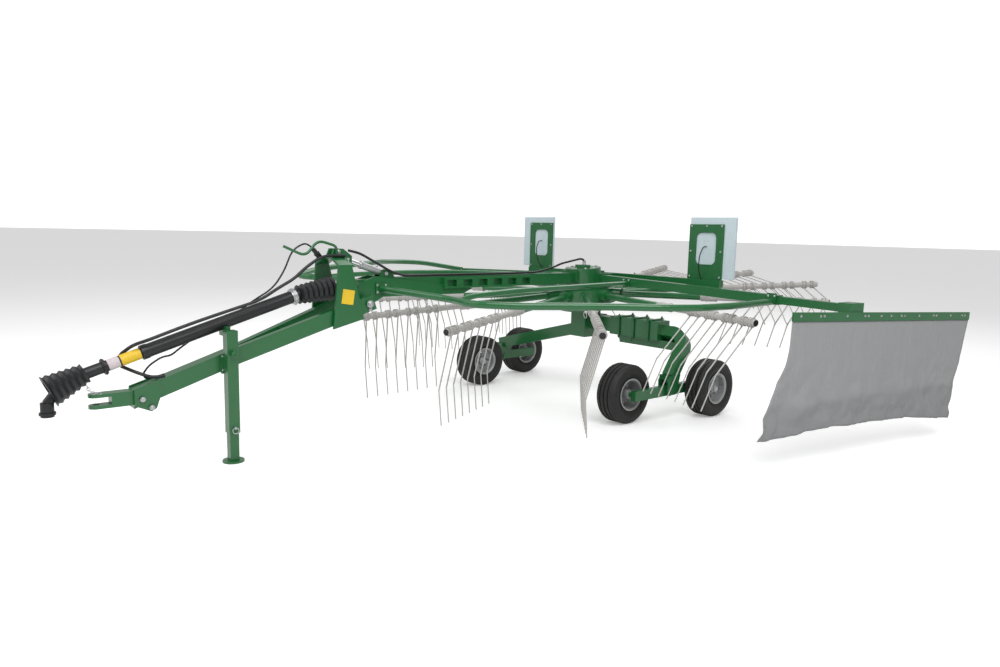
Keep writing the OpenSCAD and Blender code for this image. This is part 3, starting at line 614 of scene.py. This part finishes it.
class CameraOperator(bpy.types.Operator):
    """Camera at the photograph's angle"""

    bl_idname = "rake.camera"
    bl_label = "Camera"

    def execute(self, context):
        clear()
        ahead = Vector(CAMERA_AHEAD).normalized()
        right = Vector(CAMERA_RIGHT)
        right = (right - ahead * right.dot(ahead)).normalized()
        turn = Matrix((right, right.cross(ahead), -ahead)).transposed()
        bpy.ops.object.camera_add(location=at(*CAMERA_SPOT), rotation=turn.to_euler())
        cam = context.object
        cam.name = "Camera"
        cam.data.lens = CAMERA_LENS
        cam.data.sensor_width = 36
        cam.data.clip_end = 200
        context.scene.camera = cam
        return {"FINISHED"}


class CordOperator(bpy.types.Operator):
    """Hoses and cables, with the light plug"""

    bl_idname = "rake.cords"
    bl_label = "Cords"

    def execute(self, context):
        plug = spun(
            [(26, 17), (0, 19), (6, 19), (0, 14), (30, 13), (8, 10), (8, 7)],
            28, 0, aim(at(2230, 28, 1115), (22, 0, 25)),
        )
        plug = piece("light_plug", [plug], black(), "drawbar", 0.8)
        cord("hydraulic_hose", route(HOSE, 300), 9, "drawbar", "drawbar_hoses",
             far_end="object", stiffness="stiff", lay="hanging")
        cord("light_cable", route(LIGHT_CABLE, 300), 5, "drawbar", "drawbar_hoses",
             far_end="plug", stiffness="medium", lay="hanging", with_pieces=[plug])
        cord("rotor_hose", route(ROTOR_HOSE, 300), 8, "frame", "frame_cables",
             far_end="object", stiffness="stiff", lay="loose")
        for side, name in ((1, "left"), (-1, "right")):
            points = [(x, side * y, z) for x, y, z in BOARD_CABLE]
            cord("board_cable_" + name, route(points, 200), 4, "frame", "frame_cables",
                 far_end="object", stiffness="medium", lay="hanging")
        return {"FINISHED"}


class ChainOperator(bpy.types.Operator):
    """Safety chain of the driveline guard"""

    bl_idname = "rake.chain"
    bl_label = "Chain"

    def execute(self, context):
        line = route(CHAIN, 60)
        count = 6
        places = []
        for i in range(count):
            p, way = along(line, long_of(line) * (i + 0.5) / count)
            turn = way.to_track_quat("X", "Z").to_matrix().to_4x4()
            places.append(Matrix.Translation(p) @ turn @ turned(90 * i, "X"))
        links = copies(ring(Matrix(), 6.4, 1.7, 1.55, 24), places)
        o = piece("guard_chain", links, zinc(), "drawbar", 0)
        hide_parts("drive_chain")
        return {"FINISHED"}


class FinishOperator(bpy.types.Operator):
    """Finishes of the frame's own pieces"""

    bl_idname = "rake.finishes"
    bl_label = "Finishes"

    def execute(self, context):
        c = context.scene.rake_colours
        made = {
            "green_paint": green(),
            "pale_steel": surface("Tine paint", c.pale, 0.42, 0.1, 0.25),
            "black_plastic": black(),
            "rim_steel": surface("Rim paint", c.rim, 0.38, 0.08, 0.3, metal=0.35),
            "grey_steel": surface("Grey paint", c.zinc, 0.4, 0.08, 0.2, metal=0.4),
            "chrome_rod": surface("Chrome", CHROME, 0.12, 0.02, 0.05, metal=1.0),
            "board_white": board_material(),
            "curtain_fabric": cloth_material(),
        }
        for row in frame["record"]["subparts"]:
            o = frame["nodes"][row["node"]]
            lo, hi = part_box(row["node"])
            m = made.get(row["material_slot"]) or tyre_material(row["node"], (lo + hi) / 2)
            o.data.materials.clear()
            o.data.materials.append(m)
        return {"FINISHED"}


class LinchPinOperator(bpy.types.Operator):
    """Linch pins with their spring rings on the arm sleeves"""

    bl_idname = "rake.linch_pins"
    bl_label = "Linch pins"

    def execute(self, context):
        big = context.scene.rake_sizes.pin_ring * 1000
        pin = spun([(2, 4), (76, 5), (0, 8), (10, 8), (2, 6.4)], 16, 0, aim(mm(985, 40, 0), (0, -1, 0)))
        spring = ring(aim(mm(985, -46, 4 - big), (0.4, -1, 0)), big, 2.4)
        pins = copies(joined([pin, spring]), [arm_place(k) for k in range(ARMS)])
        piece("linch_pins", pins, zinc(), "rotor", 0.5)
        return {"FINISHED"}


class PlugOperator(bpy.types.Operator):
    """Black plugs in the outer ends of the tine carriers"""

    bl_idname = "rake.carrier_plugs"
    bl_label = "Carrier plugs"

    def execute(self, context):
        place = aim(mm(ARM_REACH - 1.5, 0, 0), FORWARD)
        plug = spun([(3.2, 19.5), (0.8, 18.4), (0, 14.5), (-1.4, 13)], 28, 0, place)
        plugs = copies(joined([plug]), [arm_place(k) for k in range(ARMS)])
        piece("carrier_plugs", plugs, black(), "rotor", 0.5)
        return {"FINISHED"}


class FrameBoltOperator(bpy.types.Operator):
    """Bolts of the gear head, guards, warning boards and drawbar pin on the frame"""

    bl_idname = "rake.frame_bolts"
    bl_label = "Frame bolts"

    def execute(self, context):
        s = context.scene.rake_sizes
        parts = bolts(s.bolt * 1000, [head_place(x, y, 194) for x, y in circle(10, 17, 118)])
        small, screws, clips, pins = [], [], [], []
        for side in (1, -1):
            out = (0, side, 0)
            small += [aim(at(x, side * 74, z), out) for x, z in ((1808, 944), (1866, 944), (1866, 900))]
            small += [aim(at(-60, side * y, 928), FORWARD) for y in (1588, 1632)]
            small += [aim(at(-60, side * y, 951), FORWARD) for y in (406, 454)]
            pins.append(aim(at(1970, side * 163, 840), out))
            screws += [aim(at(-408, side * y, z), FORWARD) for y in (742, 996) for z in (995, 1180, 1362)]
            screws.append(aim(at(-408, side * 870, 1362), FORWARD))
            spots = ((850, 1255), (880, 1255), (850, 1235), (865, 1216))
            clips += [aim(at(-418, side * y, z), FORWARD) for y, z in spots]
        parts += bolts(s.small_bolt * 1000, small) + bolts(20, pins)
        piece("frame_bolts", parts, zinc(), "frame", 0.5)
        piece("board_screws", bolts(s.small_bolt * 1000, screws) + bolts(3.5, clips), zinc(), "frame", 0.4)
        return {"FINISHED"}


class DrawbarFittingOperator(bpy.types.Operator):
    """Bolts, pins and the jack's stub and ring pin on the drawbar"""

    bl_idname = "rake.drawbar_fittings"
    bl_label = "Drawbar fittings"

    def execute(self, context):
        s = context.scene.rake_sizes
        sizes = {
            12: ((3239, 66, 400), (3196, 66, 352)),
            13: ((2114, 35.5, 1148),),
            9: ((2050, 39.5, 1102),),
            s.bolt * 1000: ((1962, 151.5, 806),),
        }
        parts = []
        for size, spots in sizes.items():
            parts += bolts(size, [aim(at(x, f * y, z), (0, f, 0)) for x, y, z in spots for f in (1, -1)])
        corners = [(JACK_X + x, z) for x in (-35.4, 35.4) for z in (510, 585)]
        parts += bolts(4.4, [aim(at(x, 66.5, z), LEFT) for x, z in corners])
        parts.append(rod(at(JACK_X, 124, 196), at(JACK_X, 146, 196), 7, 14))
        parts.append(ring(aim(at(JACK_X, 142, 182), (0.3, 1, 0)), 16, 2.2))
        hung = ((51, 681, (1, 0.2, 0.4)), (51, 663, (0.2, 1, 0.2)), (50, 645, (1, 0.1, 0.2)))
        parts += copies(ring(Matrix(), 11, 2), [aim(at(JACK_X - 7, y, z), axis) for y, z, axis in hung])
        piece("drawbar_bolts", parts, zinc(), "drawbar", 0.5)
        place = aim(at(JACK_X, 123, 606), LEFT)
        stub = spun([(29, 16), (2, 17.5), (3, 17.5), (1, 15), (0, 10), (-4, 9)], 28, 0, place)
        cap = spun([(3, 9), (1, 7.5)], 20, 0, aim(at(JACK_X, 125, 720), LEFT))
        piece("jack_stub", [stub, cap], green(), "drawbar", 0.8)
        return {"FINISHED"}


class AxleClampOperator(bpy.types.Operator):
    """Clamps over the left axle box"""

    bl_idname = "rake.axle_clamps"
    bl_label = "Axle clamps"

    def execute(self, context):
        strap = [plate((184, 30, 8), 4, Matrix.Translation(mm(0, 0, 664.2)))]
        strap += [rod(mm(x, 0, 500), mm(x, 0, 684), 6, 16) for x in (-79, 79)]
        strap += bolts(10, [aim(mm(x, 0, 668), (0, 0, 1)) for x in (-79, 79)])
        strap += bolts(10, [aim(mm(x, 0, 516), (0, 0, -1)) for x in (-79, 79)])
        places = [Matrix.Translation(at(-200, y, 0)) for y in (330, 470, 610)]
        piece("axle_clamps", copies(joined(strap), places), green(), "frame", 0.8)
        return {"FINISHED"}


class HubOperator(bpy.types.Operator):
    """Hub caps, wheel nuts and valves"""

    bl_idname = "rake.hubs"
    bl_label = "Hubs"

    def execute(self, context):
        nut = context.scene.rake_sizes.wheel_nut * 1000
        parts = [spun([(8, 24), (2, 22.5), (0, 20), (4, 19), (3, 15), (1.6, 8), (0.3, 3)], 28, 50)]
        parts += bolts(nut, [Matrix.Translation(mm(x, y, 13)) for x, y in circle(4, 45, 46)])
        parts.append(rod(mm(78, 0, 20), mm(76, 0, 46), 4, 12))
        wheels = []
        for end, f in (("front", 1), ("rear", -1)):
            for side, s in (("left", 1), ("right", -1)):
                p = at(f * AXLE_X, s * (BOGIE_Y - f * STAGGER), WHEEL_R)
                wheels.append((end + "_" + side, aim(p, (0, -f * s, 0))))
        hubs = copies(joined(parts), [place for _, place in wheels])
        for hub, (name, _) in zip(hubs, wheels):
            piece("hub_" + name, [hub], zinc(), "wheel_" + name, 0.6)
        return {"FINISHED"}


class DrivelineOperator(bpy.types.Operator):
    """Blank bands and clamp rings on the driveline"""

    bl_idname = "rake.driveline_bands"
    bl_label = "Driveline bands"

    def execute(self, context):
        long = context.scene.rake_sizes.band * 1000
        white = surface("White band", WHITE_BAND, 0.5, 0.05, 0.2)
        bands = (("yellow_band", 938, long, yellow()), ("white_band", 1044, long * 0.56, white))
        for name, t, size, m in bands:
            rows = [(1, 29.2), (0, 29.5), (size - 2, 29.5), (0, 29.2), (1, 29.2)]
            piece(name, [spun(rows, 40, 0, drive_place(t))], m, "drawbar", 0)
        rows = [(7, 44), (1, 43), (0, 48), (14, 48), (0, 43), (1, 44), (7, 44)]
        clamp = spun(rows, 36, 0, drive_place(44))
        spots = [drive_place(59) @ aim(mm(x, y, 0), (x, y, 0)) for x, y in circle(3, 35, 46)]
        piece("driveline_clamp", [clamp] + bolts(7, spots), zinc(), "drawbar", 0.8)
        collar = spun([(4, 40), (1.5, 43.5), (5, 43.5), (1.5, 40), (4, 40)], 36, 0, drive_place(1108))
        piece("driveline_collar", [collar], black(), "drawbar", 0.8)
        return {"FINISHED"}


class PlateOperator(bpy.types.Operator):
    """Blank yellow plate on the arch's left leg"""

    bl_idname = "rake.arch_plate"
    bl_label = "Arch plate"

    def execute(self, context):
        wide = context.scene.rake_sizes.plate * 1000
        high = wide * 1.1
        place = Matrix.Translation(at(2112, 150.8, 886)) @ turned(-9, "Y") @ turned(-90, "X")
        corners = [(a * wide * 0.42, b * high * 0.43) for a in (-1, 1) for b in (-1, 1)]
        parts = [plate((wide, high, 2.4), 2.5, place)]
        rivet = spun([(1.6, 3), (0.5, 2)], 14)
        parts += copies(rivet, [place @ Matrix.Translation(mm(x, y, 0.4)) for x, y in corners])
        piece("arch_plate", parts, yellow(), "drawbar", 0.4)
        return {"FINISHED"}


class FittingOperator(bpy.types.Operator):
    """Hose fitting on the gear head and the lift cylinder's gland and port"""

    bl_idname = "rake.fittings"
    bl_label = "Fittings"

    def execute(self, context):
        up = aim(at(-42, 14, 1044), (0, 0, 1))
        parts = [
            spun([(10, 17), (2, 15.4)], 6, 0, up),
            spun([(4, 11), (0, 13), (16, 13), (2, 11.5), (2, 13), (2, 11)], 24, 10, up),
        ]
        piece("head_fitting", parts, zinc(), "frame", 0.6)
        lift = aim(at(*LIFT_REAR), LIFT_WAY)
        port = lift @ aim(mm(0, 18, 60), (0, 1, 0))
        parts = [
            spun([(12, 25.5), (3, 24), (0, 20), (4, 18.5)], 32, 166, lift),
            spun([(14, 9), (2, 8)], 6, 0, port),
        ]
        piece("cylinder_gland", parts, zinc(), "lift_barrel", 0.8)
        return {"FINISHED"}


class CurtainOperator(bpy.types.Operator):
    """Hanging cloth of the curtain and the bolts along its rail"""

    bl_idname = "rake.curtain"
    bl_label = "Curtain"

    def pull(self, o, x, z, move, size, fall):
        """Draws the cloth's corner at x, z, and the cloth round it with it."""
        for v in o.data.vertices:
            v.select = abs(v.co.z - z) < 1e-4 and abs(v.co.x - x) < 1e-4
        bpy.ops.object.mode_set(mode="EDIT")
        bpy.ops.transform.translate(
            value=move, use_proportional_edit=True, proportional_edit_falloff=fall, proportional_size=size
        )
        bpy.ops.object.mode_set(mode="OBJECT")

    def fold(self, o, name, scale, strength):
        """Ripples that grow towards the hem."""
        cloud = bpy.data.textures.new(name, "CLOUDS")
        cloud.noise_scale = scale
        cloud.noise_depth = 1
        m = o.modifiers.new(name, "DISPLACE")
        m.texture = cloud
        m.texture_coords = "LOCAL"
        m.direction = "Y"
        m.mid_level = 0.5
        m.strength = strength
        m.vertex_group = "hem"
        bpy.ops.object.modifier_apply(modifier=name)

    def execute(self, context):
        s = context.scene.rake_sizes
        half, deep = RAIL_LEN / 2000, CLOTH_DEEP / 1000
        clear()
        bpy.ops.mesh.primitive_grid_add(x_subdivisions=96, y_subdivisions=36, size=1)
        o = context.object
        o.name = o.data.name = "curtain_sheet"
        o.scale = (2 * half, deep, 1)
        o.rotation_euler = (math.radians(90), 0, 0)
        bpy.ops.object.transform_apply(location=False, rotation=True, scale=True)
        bpy.ops.object.mode_set(mode="EDIT")
        bpy.ops.mesh.select_mode(type="VERT")
        bpy.ops.mesh.select_all(action="DESELECT")
        bpy.ops.object.mode_set(mode="OBJECT")
        low = -deep / 2
        self.pull(o, -half, low, (-0.15, 0.03, -0.045), 0.5, "SMOOTH")
        self.pull(o, half, low, (-0.13, 0, -0.035), 0.62, "LINEAR")
        hem = o.vertex_groups.new(name="hem")
        for v in o.data.vertices:
            t = (deep / 2 - v.co.z) / deep
            hem.add([v.index], min(1.0, max(0.0, t * t)), "REPLACE")
        self.fold(o, "Folds", 0.16, s.cloth_fold * 2)
        self.fold(o, "Crinkles", 0.055, s.cloth_fold * 0.9)
        m = o.modifiers.new("Thick", "SOLIDIFY")
        m.thickness = 0.003
        m.offset = 0
        bpy.ops.object.modifier_apply(modifier="Thick")
        o.matrix_world = rail_place() @ Matrix.Translation(mm(RAIL_LEN / 2, 0, -RAIL_UNDER - CLOTH_DEEP / 2))
        bpy.ops.object.transform_apply(location=True, rotation=True, scale=True)
        bpy.ops.object.shade_smooth()
        o.data.materials.clear()
        o.data.materials.append(cloth_material())
        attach(o, "curtain")
        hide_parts("curtain_cloth")
        stops = (60, 230, 262, 470, 640, 672, 800, 900, 1010, 1042, 1200, 1360, 1392, 1560, 1700, 1732)
        parts = bolts(s.small_bolt * 1000, [rail_place() @ aim(mm(x, -5.5, 4), (0, -1, 0)) for x in stops])
        piece("rail_bolts", parts, zinc(), "curtain", 0.4)
        return {"FINISHED"}


class StageOperator(bpy.types.Operator):
    """Pale floor and soft light"""

    bl_idname = "rake.stage"
    bl_label = "Stage"

    def execute(self, context):
        clear()
        bpy.ops.mesh.primitive_plane_add(size=300, location=(0, 0, 0))
        floor = context.object
        floor.name = "Floor"
        m = bpy.data.materials.new("Floor")
        m.use_nodes = True
        t = m.node_tree
        shader = t.nodes["Principled BSDF"]
        c = put(t, "ShaderNodeTexCoord").outputs["Object"]
        t.links.new(mixed(t, noise(t, c, 1.5, 3), *FLOOR_TONES), shader.inputs["Base Color"])
        shader.inputs["Roughness"].default_value = 0.8
        shader.inputs["Emission Color"].default_value = (1, 1, 1, 1)
        lit = put(t, "ShaderNodeLightPath").outputs["Is Camera Ray"]
        t.links.new(maths(t, "MULTIPLY", lit, FLOOR_GLOW), shader.inputs["Emission Strength"])
        floor.data.materials.append(m)
        world = bpy.data.worlds.new("Studio")
        world.use_nodes = True
        t = world.node_tree
        t.nodes["Background"].inputs["Color"].default_value = (1, 1, 1, 1)
        seen = put(t, "ShaderNodeLightPath").outputs["Is Camera Ray"]
        strength = maths(t, "MULTIPLY_ADD", seen, SKY_GLOW, SKY_LIGHT)
        t.links.new(strength, t.nodes["Background"].inputs["Strength"])
        context.scene.world = world
        context.scene.view_settings.view_transform = "Standard"
        for name, spot, goal, size, power in (
            ("Key", (2.5, 4.5, 7.0), (0.3, 0, 0.5), 6.0, 470),
            ("Fill", (6.5, -2.5, 5.0), (1.0, 0, 0.6), 5.0, 150),
            ("Back", (-5.0, -3.0, 6.0), (0, 0, 0.8), 5.0, 160),
        ):
            turn = (Vector(goal) - Vector(spot)).to_track_quat("-Z", "Y").to_euler()
            bpy.ops.object.light_add(type="AREA", location=spot, rotation=turn)
            light = context.object
            light.name = name
            light.data.size = size
            light.data.energy = power
        return {"FINISHED"}


class RakePanel(bpy.types.Panel):
    """Buttons for every step"""

    bl_idname = "VIEW3D_PT_hay_rake"
    bl_label = "Hay rake"
    bl_space_type = "VIEW_3D"
    bl_region_type = "UI"
    bl_category = "Hay rake"

    def draw(self, context):
        for group in (context.scene.rake_colours, context.scene.rake_sizes):
            for name in group.__annotations__:
                self.layout.prop(group, name)
        for c in STEPS:
            self.layout.operator(c.bl_idname)


STEPS = (
    CameraOperator, CordOperator, ChainOperator, FinishOperator, LinchPinOperator, PlugOperator,
    FrameBoltOperator, DrawbarFittingOperator, AxleClampOperator, HubOperator, DrivelineOperator,
    PlateOperator, FittingOperator, CurtainOperator, StageOperator,
)
CLASSES = (RakeColours, RakeSizes, *STEPS, RakePanel)


def register():
    for c in CLASSES:
        bpy.utils.register_class(c)
    bpy.types.Scene.rake_colours = bpy.props.PointerProperty(type=RakeColours)
    bpy.types.Scene.rake_sizes = bpy.props.PointerProperty(type=RakeSizes)


def unregister():
    del bpy.types.Scene.rake_colours
    del bpy.types.Scene.rake_sizes
    for c in reversed(CLASSES):
        bpy.utils.unregister_class(c)


def main():
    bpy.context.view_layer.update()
    register()
    bpy.ops.rake.camera()
    bpy.ops.rake.cords()
    bpy.ops.rake.chain()
    bpy.ops.rake.finishes()
    bpy.ops.rake.linch_pins()
    bpy.ops.rake.carrier_plugs()
    bpy.ops.rake.frame_bolts()
    bpy.ops.rake.drawbar_fittings()
    bpy.ops.rake.axle_clamps()
    bpy.ops.rake.hubs()
    bpy.ops.rake.driveline_bands()
    bpy.ops.rake.arch_plate()
    bpy.ops.rake.fittings()
    bpy.ops.rake.curtain()
    bpy.ops.rake.stage()


if __name__ == "__main__":
    main()
